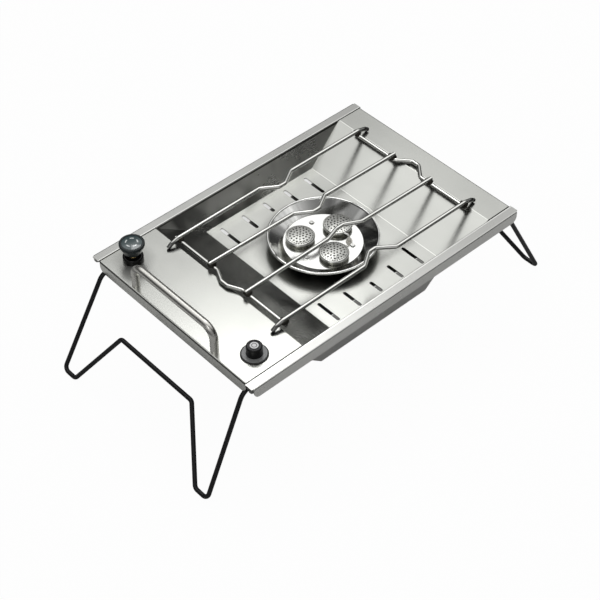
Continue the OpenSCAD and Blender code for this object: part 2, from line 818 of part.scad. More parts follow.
module pipe_nuts() {
    color(brass) on_plate() {
        translate([knob_x + valve_r + 5 + seat_gap, valve_y, pipe_z]) rotate([0, 90, 0])
            hex_nut(9, pipe_r + seat_gap, 6);
        translate([0, injector_foot - seat_gap - 0.5, manifold_mid]) rotate([-90, 0, 0]) difference() {
            hexagon(9, 5);
            translate([0, 0, -over]) cylinder(r = injector_r + pivot_gap, h = 7);
        }
    }
}

flutes = 14;
knob_foot_r = knob_r - 3.6;
knob_edge = 1.2;
disc_r = knob_r - 2.8;

// Tapered knob with finger flutes and a dished top
module gas_knob() {
    color(teal_black) on_plate() at_valve() translate([0, 0, knob_up]) difference() {
        union() {
            cylinder(r1 = knob_foot_r, r2 = knob_r, h = knob_h - knob_edge - 1.5);
            translate([0, 0, knob_h - knob_edge - 1.5]) cylinder(r = knob_r, h = 1.5);
            translate([0, 0, knob_h - knob_edge]) rotate_extrude() union() {
                square([knob_r - knob_edge, knob_edge]);
                translate([knob_r - knob_edge, 0]) intersection() {
                    circle(r = knob_edge);
                    square([knob_edge, knob_edge]);
                }
            }
        }
        for (k = [0:flutes - 1]) rotate([0, 0, 360 * k / flutes])
            translate([knob_r + 1.1, 0, -over]) cylinder(r = 2, h = knob_h - knob_edge - 1.2 + over, $fn = 24);
        translate([0, 0, knob_h - 1.2]) cylinder(r = disc_r + 0.15, h = 1.2 + over);
        translate([0, 0, -over]) cylinder(r = stem_r + seat_gap, h = 7 + over);
        translate([0, 0, -over]) cylinder(r = 7.5, h = 1.5 + over);
    }
}

// Bare glossy disc set in the knob's top
module knob_disc() {
    disc_rise = 0.9;
    rim_h = 0.8;
    crown_r = (disc_r * disc_r + disc_rise * disc_rise) / (2 * disc_rise);
    color(teal_black) on_plate() at_valve() translate([0, 0, knob_up + knob_h - 1.2 + seat_gap])
        rotate_extrude() intersection() {
            square([disc_r, rim_h + disc_rise]);
            translate([0, rim_h + disc_rise - crown_r]) circle(r = crown_r, $fn = 720);
        }
}

module valve_stem() {
    color(steel) on_plate() at_valve() translate([0, 0, valve_top - 11])
        cylinder(r = stem_r, h = knob_up + 7 - valve_top + 11 - seat_gap);
}

// ---------- handle ----------

module handle() {
    x = handle_l / 2;
    color(steel) on_plate() difference() {
        bent_rod([
            [-x, handle_y, seat_gap], [-x, handle_y, handle_h],
            [x, handle_y, handle_h], [x, handle_y, seat_gap]
        ], 13, handle_d / 2);
        for (side = [-1, 1]) translate([side * x, handle_y, -over])
            cylinder(r = handle_screw_r + seat_gap, h = 10 + over);
    }
}

washer_t = 0.8;

module handle_washers() {
    color(steel) on_plate() for (side = [-1, 1])
        translate([side * handle_l / 2, handle_y, -sheet_t - seat_gap - washer_t])
            tube(4.2, handle_screw_r + pivot_gap, washer_t);
}

module handle_screws() {
    head_z = -sheet_t - 2 * seat_gap - washer_t;
    color(steel) on_plate() for (side = [-1, 1]) translate([side * handle_l / 2, handle_y, 0]) difference() {
        union() {
            translate([0, 0, head_z - 2.4]) cylinder(r1 = 2.8, r2 = 3.6, h = 2.4);
            translate([0, 0, head_z - over]) cylinder(r = handle_screw_r, h = 9 - head_z + over);
        }
        translate([0, 0, head_z - 2.4 - over]) cylinder(r = 1.5, h = 1.4 + over, $fn = 6);
    }
}

// ---------- piezo igniter ----------

module at_igniter() {
    translate([igniter_out, igniter_y, 0]) children();
}

gasket_r = 14;
bezel_r = 12.8;
gasket_t = 0.8;
bezel_t = 1;
bezel_top = gasket_t + bezel_t + 2 * seat_gap;
body_foot = -36;
well_z = -9;                                // floor of the well that the button sinks into
plunger_r = 5;

module igniter_gasket() {
    color(black) on_plate() at_igniter() translate([0, 0, seat_gap])
        tube(gasket_r, igniter_body_r + slide_gap, gasket_t);
}

module igniter_bezel() {
    color(grey) on_plate() at_igniter() translate([0, 0, gasket_t + 2 * seat_gap]) difference() {
        union() {
            cylinder(r = bezel_r, h = bezel_t - 0.4);
            translate([0, 0, bezel_t - 0.4]) cylinder(r1 = bezel_r, r2 = bezel_r - 0.4, h = 0.4);
        }
        translate([0, 0, -over]) cylinder(r = button_r + slide_gap, h = bezel_t + 2 * over);
    }
}

// Threaded barrel below the panel that holds the piezo unit
module igniter_body() {
    color(black) on_plate() at_igniter() difference() {
        union() {
            translate([0, 0, body_foot]) cylinder(r = igniter_body_r, h = gasket_t - body_foot);
            translate([0, 0, body_foot - 5]) cylinder(r = 2.2, h = 5 + seat_gap);
        }
        translate([0, 0, well_z]) cylinder(r = button_r + slide_gap, h = 20);
        translate([0, 0, body_foot + 6]) cylinder(r = plunger_r + slide_gap, h = 40);
        translate([0, 0, body_foot - 5 - over]) cylinder(r = lead_r + seat_gap, h = 4 + over);
    }
}

module igniter_nut() {
    color(black) on_plate() at_igniter() translate([0, 0, -sheet_t - seat_gap - 4])
        difference() {
            cylinder(r = 14, h = 4, $fn = 12);
            translate([0, 0, -over]) cylinder(r = igniter_body_r + pivot_gap, h = 4 + 2 * over);
        }
}

button_foot = well_z + button_travel + 0.6;
button_edge = 1.5;
plunger_foot = body_foot + 6 + button_travel + 2;

module igniter_button() {
    color(black) on_plate() at_igniter() difference() {
        union() {
            translate([0, 0, button_foot]) cylinder(r = button_r, h = button_h - button_edge - button_foot);
            translate([0, 0, button_h - button_edge]) rotate_extrude() union() {
                square([button_r - button_edge, button_edge]);
                translate([button_r - button_edge, 0]) intersection() {
                    circle(r = button_edge);
                    square([button_edge, button_edge]);
                }
            }
            translate([0, 0, plunger_foot]) cylinder(r = plunger_r, h = button_foot - plunger_foot + over);
        }
        translate([0, 0, button_h - 0.5]) tube(button_r - 2.4, button_r - 3.6, 2);
    }
}

spring_wire_r = 0.45;
spring_r = plunger_r - 0.9;
spring_curls = 5;
curl_steps = 8;
wire_sides = 6;
spring_foot = body_foot + 6 + seat_gap + spring_wire_r;
spring_top = plunger_foot - seat_gap - spring_wire_r;

// Coil spring below the plunger, one unbroken tube
module igniter_spring() {
    rings = spring_curls * curl_steps;
    pitch = (spring_top - spring_foot) / spring_curls;
    echo(least_gap_between_curls = pitch - 2 * spring_wire_r);
    points = [for (i = [0:rings], k = [0:wire_sides - 1]) let (
        a = 360 * i / curl_steps,
        b = 360 * k / wire_sides,
        out = spring_r + spring_wire_r * cos(b)
    ) [out * cos(a), out * sin(a), pitch * i / curl_steps + spring_wire_r * sin(b)]];
    sides = [for (i = [0:rings - 1], k = [0:wire_sides - 1]) let (
        a = i * wire_sides + k,
        b = i * wire_sides + (k + 1) % wire_sides
    ) [a, a + wire_sides, b + wire_sides, b]];
    foot_end = [for (k = [0:wire_sides - 1]) k];
    top_end = [for (k = [wire_sides - 1:-1:0]) rings * wire_sides + k];
    color(steel) on_plate() at_igniter() translate([0, 0, spring_foot])
        polyhedron(points, concat(sides, [foot_end, top_end]));
}

lead_r = 1.4;
lead_x = 14;
lead_z = -38;

// High-tension lead from the piezo unit to the electrode
module ignition_lead() {
    spark_x = spark_ring * cos(spark_turn);
    spark_y = burner_y + head_back + spark_ring * sin(spark_turn);
    top_z = -6.5;
    lead_out = head_ring + neck_r + 18;
    lead_low = insulator_foot - 13;
    color(black) on_plate() bent_rod([
        [igniter_out, igniter_y, body_foot - 2],
        [igniter_out, igniter_y, body_foot - 12],
        [igniter_out - 16, igniter_y, body_foot - 12],
        [igniter_out - 16, igniter_y, top_z],
        [lead_x, igniter_y, top_z],
        [lead_x, pipe_drop_y - 2, top_z],
        [lead_x, pipe_drop_y - 2, lead_z],
        [lead_x, housing_front + 26, lead_z],
        [lead_out, housing_front + 62, lead_low],
        [lead_out, spark_y, lead_low],
        [spark_x, spark_y, lead_low],
        [spark_x, spark_y, insulator_foot - 3 - seat_gap]
    ], 4, lead_r);
}

// ---------- pot grate ----------

bar_r = grate_d / 2;
bar_z = grate_h - bar_r;
cross_z = bar_z - 2 * bar_r - seat_gap;
cross_front = top_front + 5.2;
cross_back = top_back - 6.2;
bar_foot_out = 10;                          // how far the bent ends reach over the panels
kink_y = burner_y + 3.5;
kink_half = 22;
kink_flat = 4.5;
grate_bend = 6;

end_fall = 36;                              // slope of the last bit of an outer bar
end_run = 4;
end_z = bar_r * cos(end_fall) + seat_gap;
knee_z = end_z + end_run * tan(end_fall);

// Long bar through the x values of its front end, kink start, kink, kink end and back end
// Outer bars turn down at both ends
module long_bar(xs, outer) {
    front_end = outer ? top_front - bar_foot_out : cross_front - bar_r - 1;
    back_end = outer ? top_back + bar_foot_out : cross_back + bar_r + 1;
    front_part = outer ? [
        [xs[0], front_end, end_z], [xs[0], front_end + end_run, knee_z], [xs[0], cross_front - 1.6, bar_z]
    ] : [[xs[0], front_end, bar_z]];
    back_part = outer ? [
        [xs[4], cross_back + 1.6, bar_z], [xs[4], back_end - end_run, knee_z], [xs[4], back_end, end_z]
    ] : [[xs[4], back_end, bar_z]];
    kink_part = [
        [xs[1], kink_y - kink_half, bar_z],
        [xs[2], kink_y - kink_flat, bar_z],
        [xs[2], kink_y + kink_flat, bar_z],
        [xs[3], kink_y + kink_half, bar_z]
    ];
    bent_rod(concat(front_part, kink_part, back_part), grate_bend, bar_r);
}

left_outer_line = [for (d = [1, 0, kink, 1.4, 1.6]) d - outer_bar_x];
left_inner_line = [for (d = [-1.5, 0.4, kink, 1.4, 3.2]) d - inner_bar_x];
right_inner_line = [for (d = [1, 0, 0.5 - kink / 2, 4, 5.6]) inner_bar_x + d];
right_outer_line = [for (d = [1, 0.7, 0.7 - kink, 2.2, 2.6]) outer_bar_x + d];

module left_outer_bar() { color(steel) on_plate() long_bar(left_outer_line, true); }
module left_inner_bar() { color(steel) on_plate() long_bar(left_inner_line, false); }
module right_inner_bar() { color(steel) on_plate() long_bar(right_inner_line, false); }
module right_outer_bar() { color(steel) on_plate() long_bar(right_outer_line, true); }

// Cross bar under the long bars at y, bowed outwards between the inner pair
module cross_bar(y, bow) {
    end = outer_bar_x + bar_r + 2.6;
    foot = inner_bar_x - 7;
    top = 5;
    bent_rod([
        [-end, y, cross_z], [-foot, y, cross_z], [-top, y + bow, cross_z],
        [top, y + bow, cross_z], [foot, y, cross_z], [end, y, cross_z]
    ], grate_bend, bar_r);
}

module front_cross_bar() { color(steel) on_plate() cross_bar(cross_front, -front_bow); }
module back_cross_bar() { color(steel) on_plate() cross_bar(cross_back, back_bow); }

// ---------- legs ----------

wire_r = leg_d / 2;
jog = [12.4, 5.2];                          // out and down, to clear the flange's edge
jog_y = pivot_y + jog.x;
jog_z = -pivot_down - jog.y;
foot_z = wire_r - stand_h;
function leg_y(z) = jog_y + (jog_z - z) * tan(leg_splay);
pin_end = rail_in + sheet_t + 4;
leg_bends = [0, 4, 14, 6, 6, 5, 5, 6, 6, 14, 4, 0];

// Back leg: one wire from pin to pin, in plate coordinates
module wire_leg() {
    foot_y = leg_y(foot_z);
    mid_y = leg_y(-mid_bar_down);
    jog_x = leg_top_x + 0.8;
    bent_rod([
        [-pin_end, pivot_y, -pivot_down], [-leg_top_x, pivot_y, -pivot_down], [-jog_x, jog_y, jog_z],
        [-foot_out_x, foot_y, foot_z], [-foot_in_x, foot_y, foot_z],
        [-mid_bar_half, mid_y, -mid_bar_down], [mid_bar_half, mid_y, -mid_bar_down],
        [foot_in_x, foot_y, foot_z], [foot_out_x, foot_y, foot_z],
        [jog_x, jog_y, jog_z], [leg_top_x, pivot_y, -pivot_down], [pin_end, pivot_y, -pivot_down]
    ], leg_bends, wire_r);
}

module back_leg() { color(black) on_plate() wire_leg(); }
module front_leg() { color(black) on_plate() mirror([0, 1, 0]) wire_leg(); }

tray();
left_rail();
right_rail();
bowl();
burner_manifold();
mixing_tube();
injector();
back_burner_cup();
left_burner_cup();
right_burner_cup();
back_burner_cap();
left_burner_cap();
right_burner_cap();
burner_screws();
spark_insulator();
spark_electrode();
ignition_lead();
burner_housing();
housing_studs();
housing_nuts();
gas_valve();
valve_nut();
valve_collar();
gas_inlet();
gas_pipe();
pipe_nuts();
gas_knob();
knob_disc();
valve_stem();
handle();
handle_washers();
handle_screws();
igniter_gasket();
igniter_bezel();
igniter_body();
igniter_nut();
igniter_button();
igniter_spring();
left_outer_bar();
left_inner_bar();
right_inner_bar();
right_outer_bar();
front_cross_bar();
back_cross_bar();
front_leg();
back_leg();
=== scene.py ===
import json
import math

import bpy
import numpy as np
from mathutils import Matrix, Vector


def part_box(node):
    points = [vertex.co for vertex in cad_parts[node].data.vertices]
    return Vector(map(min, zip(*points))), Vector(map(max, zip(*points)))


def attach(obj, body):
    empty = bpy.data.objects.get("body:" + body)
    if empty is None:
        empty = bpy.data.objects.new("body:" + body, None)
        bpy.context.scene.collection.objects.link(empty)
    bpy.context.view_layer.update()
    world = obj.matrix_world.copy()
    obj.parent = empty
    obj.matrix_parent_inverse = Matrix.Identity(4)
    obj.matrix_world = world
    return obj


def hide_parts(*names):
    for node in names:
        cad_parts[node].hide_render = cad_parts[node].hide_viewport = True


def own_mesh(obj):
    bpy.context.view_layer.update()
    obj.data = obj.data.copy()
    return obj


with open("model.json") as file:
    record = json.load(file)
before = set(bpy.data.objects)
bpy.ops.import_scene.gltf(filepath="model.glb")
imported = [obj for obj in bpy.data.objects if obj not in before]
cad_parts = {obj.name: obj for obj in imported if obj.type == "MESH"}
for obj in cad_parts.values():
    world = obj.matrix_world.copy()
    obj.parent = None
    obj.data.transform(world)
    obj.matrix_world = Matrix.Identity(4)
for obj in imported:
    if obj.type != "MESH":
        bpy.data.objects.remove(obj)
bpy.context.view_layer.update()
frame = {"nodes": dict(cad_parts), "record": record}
nodes = frame["nodes"]
print("frame loaded:", len(nodes), "nodes")

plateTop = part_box("tray")[1][2]                    # height of the panels, in metres


# Shader helpers. A source is a (node, output) pair, and the helpers that work out a value return one.

def feed(tree, socket, value):
    # Sets a socket to a number, vector or colour, or links a source to it
    if isinstance(value, tuple) and isinstance(value[0], bpy.types.Node):
        tree.links.new(value[0].outputs[value[1]], socket)
    else:
        socket.default_value = value


def addNode(tree, kind, inputs=None, **settings):
    # A shader node with its settings, and its inputs by name or number
    node = tree.nodes.new("ShaderNode" + kind)
    for key, value in settings.items():
        setattr(node, key, value)
    for key, value in (inputs or {}).items():
        feed(tree, node.inputs[key], value)
    return node


def emptyTree(owner):
    # Switches a material or world to nodes and clears them
    owner.use_nodes = True
    owner.node_tree.nodes.clear()
    return owner.node_tree


def calc(tree, kind, a, b=None, c=None, clamp=False):
    # A Math node on numbers or sources
    values = {index: value for index, value in enumerate((a, b, c)) if value is not None}
    return addNode(tree, "Math", values, operation=kind, use_clamp=clamp), "Value"


def vectorCalc(tree, kind, a, b=None):
    # A Vector Math node on vectors or sources
    values = {index: value for index, value in enumerate((a, b)) if value is not None}
    output = "Value" if kind in ("LENGTH", "DOT_PRODUCT") else "Vector"
    return addNode(tree, "VectorMath", values, operation=kind), output


def remap(tree, source, low, high, toLow, toHigh, smooth=False):
    # Carries a source from one range to another, held at both ends
    ranges = {"Value": source, "From Min": low, "From Max": high, "To Min": toLow, "To Max": toHigh}
    kind = "SMOOTHSTEP" if smooth else "LINEAR"
    return addNode(tree, "MapRange", ranges, interpolation_type=kind, clamp=True), "Result"


def objectPlace(tree):
    return addNode(tree, "TexCoord"), "Object"


def objectPoint(tree, scale=(1, 1, 1), move=(0, 0, 0), turn=(0, 0, 0)):
    # Object coordinates through a Mapping node
    values = {"Vector": objectPlace(tree), "Scale": scale, "Location": move, "Rotation": turn}
    return addNode(tree, "Mapping", values), "Vector"


def objectParts(tree):
    # Object coordinates, split: its outputs are X, Y and Z
    return addNode(tree, "SeparateXYZ", {"Vector": objectPlace(tree)})


def noise(tree, vector, scale, detail=2.0, rough=0.5, twist=0.0):
    values = {"Vector": vector, "Scale": scale, "Detail": detail, "Roughness": rough, "Distortion": twist}
    return addNode(tree, "TexNoise", values), "Fac"


def colourMix(tree, factor, low, high, kind="MIX"):
    # Mixes two colours, each three numbers or a source, by a factor
    mix = addNode(tree, "Mix", {0: factor}, data_type="RGBA", blend_type=kind)
    for index, colour in ((6, low), (7, high)):
        feed(tree, mix.inputs[index], (*colour, 1) if len(colour) == 3 else colour)
    return mix, 2


def mixShader(tree, share, first, second):
    return addNode(tree, "MixShader", {0: share, 1: first, 2: second}), "Shader"


def product(tree, *factors):
    # Multiplies factors together
    whole = factors[0]
    for factor in factors[1:]:
        whole = calc(tree, "MULTIPLY", whole, factor)
    return whole


def dimmer(tree, mask, depth):
    # A factor that is 1 off the mask and 1 - depth on it; a depth below nought brightens
    return calc(tree, "SUBTRACT", 1.0, calc(tree, "MULTIPLY", mask, depth))


def newMaterial(name):
    # An empty node material with its Principled shader and output
    mat = bpy.data.materials.new(name)
    tree = emptyTree(mat)
    shader = addNode(tree, "BsdfPrincipled")
    addNode(tree, "OutputMaterial", {"Surface": (shader, "BSDF")})
    return mat, tree, shader


def addBump(tree, shader, height, strength, distance):
    bump = addNode(tree, "Bump", {"Height": height, "Strength": strength, "Distance": distance})
    feed(tree, shader.inputs["Normal"], (bump, "Normal"))


def newGroup(name, inputs, outputs):
    # A node group from its inputs with their defaults and its outputs' names, with its two end nodes
    tree = bpy.data.node_groups.new(name, "ShaderNodeTree")
    for label, default in inputs.items():
        kind = "NodeSocketVector" if isinstance(default, tuple) else "NodeSocketFloat"
        socket = tree.interface.new_socket(label, in_out="INPUT", socket_type=kind)
        socket.default_value = default
    for label in outputs:
        tree.interface.new_socket(label, in_out="OUTPUT", socket_type="NodeSocketFloat")
    return tree, tree.nodes.new("NodeGroupInput"), tree.nodes.new("NodeGroupOutput")


def closeGroup(tree, end, outputs):
    for label, source in outputs.items():
        feed(tree, end.inputs[label], source)
    return tree


def placeGroup(tree, group, values):
    return addNode(tree, "Group", values, node_tree=group)


# What the shared effects have in common on every piece. Scales are in noise cells to the metre,
# and a fade is the stretch of a noise's value that runs from none to all.
effects = {
    "broadScale": 60.0, "grainFade": (0.3, 0.7), "cloudFade": (0.35, 0.7), "patchScale": 90.0,
    "scratchFade": (0.74, 0.8), "scratchScale": (900.0, 14.0, 14.0), "scratchTurn": (0.3, 0.2, 0.7)}


def makeGrainGroup():
    # Fine rolling or brushing lines: two noises, one fine and one broad. Stretch multiplies the
    # coordinates, so a small number draws the lines out along that axis.
    tree, start, end = newGroup(
        "rollingGrain", {"Stretch": (1, 1, 1), "Fineness": 900.0, "Rough Low": 0.15, "Rough High": 0.3},
        ["Height", "Roughness", "Tone"])
    point = vectorCalc(tree, "MULTIPLY", objectPlace(tree), (start, "Stretch"))
    fine = noise(tree, point, (start, "Fineness"), detail=3.0, rough=0.6)
    broad = noise(tree, point, effects["broadScale"])
    rough = remap(tree, fine, *effects["grainFade"], (start, "Rough Low"), (start, "Rough High"))
    return closeGroup(tree, end, {"Height": fine, "Roughness": rough, "Tone": broad})


def makeMarksGroup():
    # Faint handling marks: soft clouds, and rare thin scratches that reach the value Scratches
    tree, start, end = newGroup("handlingMarks", {"Size": 14.0, "Scratches": 0.5}, ["Cloud", "Scratch"])
    cloud = noise(tree, objectPlace(tree), (start, "Size"), detail=4.0, rough=0.55, twist=0.3)
    clear = remap(tree, cloud, *effects["cloudFade"], 0.0, 1.0, True)
    point = objectPoint(tree, effects["scratchScale"], turn=effects["scratchTurn"])
    lines = noise(tree, point, 1.0, detail=1.0, rough=0.4)
    sparse = remap(tree, lines, *effects["scratchFade"], 0.0, (start, "Scratches"))
    return closeGroup(tree, end, {"Cloud": clear, "Scratch": sparse})


def makeBumpsGroup():
    # Small bumps for a moulding or a powder coat: fine noise times broad noise, and the broad one as Mask
    tree, start, end = newGroup("fineBumps", {"Scale": 1500.0}, ["Height", "Mask"])
    bumps = noise(tree, objectPlace(tree), (start, "Scale"))
    patch = noise(tree, objectPlace(tree), effects["patchScale"], detail=3.0, rough=0.6)
    return closeGroup(tree, end, {"Height": calc(tree, "MULTIPLY", bumps, patch), "Mask": patch})


def makeBandGroup():
    # 1 where a value lies between Start and End, fading over Soft on each side of both
    tree, start, end = newGroup("bandMask", {"Value": 0.0, "Start": 0.0, "End": 1.0, "Soft": 0.001}, ["Mask"])
    ramps = []
    for label in ("Start", "End"):
        away = calc(tree, "SUBTRACT", (start, "Value"), (start, label))
        share = calc(tree, "DIVIDE", away, (start, "Soft"))
        ramps.append(remap(tree, share, -1.0, 1.0, 0.0, 1.0, True))
    return closeGroup(tree, end, {"Mask": calc(tree, "SUBTRACT", *ramps)})


def makeRingGroup():
    # Distance from an upright axis, and the turn round it from 0 to 1
    tree, start, end = newGroup("ringPlace", {"Centre": (0, 0, 0)}, ["Radius", "Turn"])
    away = vectorCalc(tree, "SUBTRACT", objectPlace(tree), (start, "Centre"))
    flat = vectorCalc(tree, "MULTIPLY", away, (1, 1, 0))
    parts = addNode(tree, "SeparateXYZ", {"Vector": flat})
    angle = calc(tree, "ARCTAN2", (parts, "Y"), (parts, "X"))
    turn = remap(tree, angle, -math.pi, math.pi, 0.0, 1.0)
    return closeGroup(tree, end, {"Radius": vectorCalc(tree, "LENGTH", flat), "Turn": turn})


rollingGrain = makeGrainGroup()
bandMask = makeBandGroup()
ringPlace = makeRingGroup()
handlingMarks = makeMarksGroup()
fineBumps = makeBumpsGroup()
print("shader groups made")


def band(tree, value, start, stop, soft):
    # The band mask of a source
    values = {"Value": value, "Start": start, "End": stop, "Soft": soft}
    return placeGroup(tree, bandMask, values), "Mask"


def levelBand(tree, parts, start, stop, soft):
    # The band mask of the heights between two, both measured from the panels
    return band(tree, (parts, "Z"), plateTop + start, plateTop + stop, soft)


def ringAbout(tree, centre):
    # Radius and Turn about an upright axis
    return placeGroup(tree, ringPlace, {"Centre": centre})


# A metal's tone is shared between its grain and its clouds; bumpDeep is in metres
sheetMake = {
    "grainShare": 0.6, "cloudShare": 0.4, "scratches": 0.05, "scratchRough": 0.2, "bumpDeep": 0.00004}
mouldMake = {"patchFade": (0.3, 0.7), "coatRough": 0.06, "bumpDeep": 0.0001}


def makeSheetSteel(name, low, high, stretch, rough, bump, cloudSize=14.0, fineness=900.0, cloudRough=0.05,
                   shade=None, paintedMatte=None):
    # Metal sheet, rod, wire or casting: grain in height and roughness, clouds in tone.
    # Shade builds a factor of painted light and shade over the tone, for the parts that look darker or
    # lighter, and a matte mask builds the parts made non-metal, which paints light on them.
    mat, tree, shader = newMaterial(name)
    grain = placeGroup(tree, rollingGrain, {
        "Stretch": stretch, "Fineness": fineness, "Rough Low": rough[0], "Rough High": rough[1]})
    marks = placeGroup(tree, handlingMarks, {"Size": cloudSize, "Scratches": sheetMake["scratches"]})
    tone = calc(tree, "MULTIPLY", (grain, "Tone"), sheetMake["grainShare"])
    both = calc(tree, "MULTIPLY_ADD", (marks, "Cloud"), sheetMake["cloudShare"], tone)
    colour = colourMix(tree, both, low, high)
    if shade:
        colour = colourMix(tree, 1.0, colour, shade(tree), "MULTIPLY")
    worn = calc(tree, "MULTIPLY_ADD", (marks, "Cloud"), cloudRough, (grain, "Roughness"))
    scratched = calc(tree, "MULTIPLY_ADD", (marks, "Scratch"), sheetMake["scratchRough"], worn)
    feed(tree, shader.inputs["Base Color"], colour)
    feed(tree, shader.inputs["Roughness"], scratched)
    feed(tree, shader.inputs["Metallic"], dimmer(tree, paintedMatte(tree), 1.0) if paintedMatte else 1.0)
    addBump(tree, shader, (grain, "Height"), bump, sheetMake["bumpDeep"])
    return mat


def makeMoulded(name, low, high, rough, scale, bump, coat=0.0, specular=0.5, pale=None, paleMask=None):
    # A moulding, rubber, glaze or powder coat: fine bumps, and a tone that drifts over the piece.
    # Pale is the colour of painted highlights on it, and paleMask builds the mask of where.
    mat, tree, shader = newMaterial(name)
    bumps = placeGroup(tree, fineBumps, {"Scale": scale})
    colour = colourMix(tree, (bumps, "Mask"), low, high)
    if pale:
        colour = colourMix(tree, paleMask(tree), colour, pale)
    feed(tree, shader.inputs["Base Color"], colour)
    feed(tree, shader.inputs["Roughness"], remap(tree, (bumps, "Mask"), *mouldMake["patchFade"], *rough))
    feed(tree, shader.inputs["Coat Weight"], coat)
    feed(tree, shader.inputs["Coat Roughness"], mouldMake["coatRough"])
    feed(tree, shader.inputs["Specular IOR Level"], specular)
    addBump(tree, shader, (bumps, "Height"), bump, mouldMake["bumpDeep"])
    return mat


# Each piece's painted light and shade, in metres. Three numbers are a band's start, stop and softness,
# and two are a fade's start and stop. Names in Level are heights from the panels, those in Edge are
# widths from the panels' edge, and those in Dark and Bright say how much darker or brighter.
recess = {
    "frontTop": -0.1118, "frontFoot": -0.0565, "backFoot": 0.0965, "backTop": 0.1518,     # along Y
    "slopeSoft": 0.0008, "deepLevel": (-0.04, -0.0008, 0.0004)}
bowlCentre = (0.0, 0.0215, 0.0)
knobAxis = (-0.092, -0.157, 0.0)
trayHalf = 0.113                                   # the panels' edges, beside the rails


def recessMasks(tree, parts):
    # The front slope's stretch along Y, and all that lies below the panels
    slope = band(tree, (parts, "Y"), recess["frontTop"], recess["frontFoot"], recess["slopeSoft"])
    return slope, levelBand(tree, parts, *recess["deepLevel"])


# The painted reflection on the front slope and beside the knob
slopeReflectionPaint = {
    "stretch": (1, 1.6, 1), "size": 34.0, "fade": (0.36, 0.64), "least": 0.25,            # its clouds
    "across": (-0.07, 0.07), "most": 0.4,
    "knobOff": (0.02, -0.014), "knobRadius": (0.008, 0.026), "knobMost": 0.5,
    "topLevel": (-0.0004, 0.01, 0.0002)}


def trayPaintedReflection(tree):
    # Painted reflection: matte clouds over the front slope, thickest at the right, and a thin patch by the
    # knob
    parts = objectParts(tree)
    slope, deep = recessMasks(tree, parts)
    # The clouds stand in for the slope's mottled reflection
    point = objectPoint(tree, slopeReflectionPaint["stretch"])
    cloud = noise(tree, point, slopeReflectionPaint["size"], detail=3.0, rough=0.55, twist=0.4)
    reflectionMottle = remap(tree, cloud, *slopeReflectionPaint["fade"], slopeReflectionPaint["least"], 1.0, True)
    right = remap(tree, (parts, "X"), *slopeReflectionPaint["across"], 0.0, slopeReflectionPaint["most"])
    thick = product(tree, slope, deep, reflectionMottle, right)
    # The thin patch weakens the knob's dark reflection in the panel
    beside = ringAbout(tree, (knobAxis[0] + slopeReflectionPaint["knobOff"][0], knobAxis[1] + slopeReflectionPaint["knobOff"][1], 0))
    patch = remap(tree, (beside, "Radius"), *slopeReflectionPaint["knobRadius"], slopeReflectionPaint["knobMost"], 0.0, True)
    thin = product(tree, patch, levelBand(tree, parts, *slopeReflectionPaint["topLevel"]))
    return calc(tree, "MAXIMUM", thick, thin)


trayShading = {
    "slopeDark": 0.45,
    "liftAlong": (-0.06, -0.05), "liftAcross": (-0.09, -0.03), "liftLeast": 0.3, "liftBright": 0.2,
    "seamEdge": (-0.0004, 0.01, 0.0002), "seamLevel": (-0.003, 0.01, 0.0004), "seamDark": 0.85,
    "bowlShadowRadius": (0.05, 0.079), "bowlShadowAlong": (-0.06, 0.05, 0.03), "bowlShadowDark": 0.8,
    "knobRadius": (0.009, 0.025), "knobDark": 0.35,
    "flangeAlong": (-0.19, -0.1838, 0.0003), "flangeBright": 0.5,
    "foldLevel": (-0.0022, -0.0007, 0.0003), "foldDark": 0.85,
    "bendHalf": 0.0004, "bendSoft": 0.0003, "bendBright": 0.5}


def trayShade(tree):
    # Painted shade: the front slope, the bowl's shadow and reflection round it but for its back, the gaps
    # at the panels' edges beside the rails, the knob's shadow round it and the front flange's fold. Painted
    # light: all behind the front slope, least at the left, the front flange and the back slope's two bends.
    parts = objectParts(tree)
    slope, deep = recessMasks(tree, parts)
    behind = remap(tree, (parts, "Y"), *trayShading["liftAlong"], 0.0, 1.0)
    inward = remap(tree, (parts, "X"), *trayShading["liftAcross"], trayShading["liftLeast"], 1.0)
    bowlAway = (ringAbout(tree, bowlCentre), "Radius")
    around = remap(tree, bowlAway, *trayShading["bowlShadowRadius"], 1.0, 0.0, True)
    # Painted shadow and reflection of the bowl on the floor round it
    bowlShadow = product(tree, around, deep, band(tree, (parts, "Y"), *trayShading["bowlShadowAlong"]))
    first, last, soft = trayShading["seamEdge"]
    edge = band(tree, calc(tree, "ABSOLUTE", (parts, "X")), trayHalf + first, trayHalf + last, soft)
    seam = product(tree, edge, levelBand(tree, parts, *trayShading["seamLevel"]))
    knobAway = (ringAbout(tree, knobAxis), "Radius")
    # Painted shadow and reflection of the knob on the panel round it
    halo = remap(tree, knobAway, *trayShading["knobRadius"], trayShading["knobDark"], 0.0)
    flange = band(tree, (parts, "Y"), *trayShading["flangeAlong"])
    fold = product(tree, flange, levelBand(tree, parts, *trayShading["foldLevel"]))
    bends = []
    for line in (recess["backFoot"], recess["backTop"]):
        start, stop = line - trayShading["bendHalf"], line + trayShading["bendHalf"]
        bends.append(band(tree, (parts, "Y"), start, stop, trayShading["bendSoft"]))
    return product(
        tree,
        dimmer(tree, product(tree, slope, deep), trayShading["slopeDark"]),
        dimmer(tree, product(tree, behind, inward), -trayShading["liftBright"]),
        dimmer(tree, seam, trayShading["seamDark"]),
        dimmer(tree, bowlShadow, trayShading["bowlShadowDark"]),
        calc(tree, "SUBTRACT", 1.0, halo),
        dimmer(tree, flange, -trayShading["flangeBright"]),
        dimmer(tree, fold, trayShading["foldDark"]),
        *[dimmer(tree, bend, -trayShading["bendBright"]) for bend in bends])


